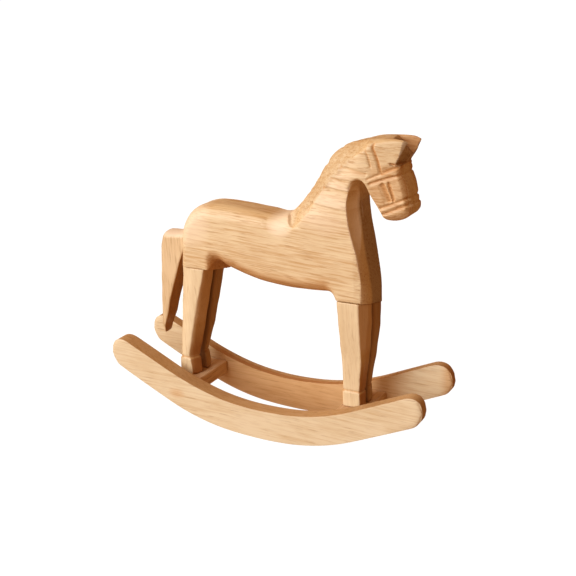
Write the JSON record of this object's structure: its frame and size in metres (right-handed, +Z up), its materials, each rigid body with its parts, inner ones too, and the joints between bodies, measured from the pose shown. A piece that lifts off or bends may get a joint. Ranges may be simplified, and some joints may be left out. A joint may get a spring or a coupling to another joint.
{
  "type": "rocking horse figurine",
  "caption": "Small knife-carved wooden horse that stands on cross slats between a pair of curved rockers and rocks on a shelf.",
  "frame": {"origin": "on the floor under the middle of the rockers", "axes": "+X the way the horse faces, along the rockers; +Y the horse's left; +Z up"},
  "size_m": [0.2, 0.047, 0.1703],
  "materials": {
    "body_wood": "oiled, knife-carved, long grain along the body",
    "tail_wood": "oiled, knife-carved, upright grain",
    "leg_wood": "oiled, knife-carved, upright grain",
    "rocker_wood": "oiled and sanded, grain along the rocker",
    "slat_wood": "oiled and sawn, grain across the stand"
  },
  "bodies": {
    "root": {"body": "body_wood", "tail": "tail_wood", "leg_front_left": "leg_wood", "leg_front_right": "leg_wood", "leg_hind_left": "leg_wood", "leg_hind_right": "leg_wood", "rocker_left": "rocker_wood", "rocker_right": "rocker_wood", "slat_front": "slat_wood", "slat_rear": "slat_wood"}
  },
  "joints": []
}
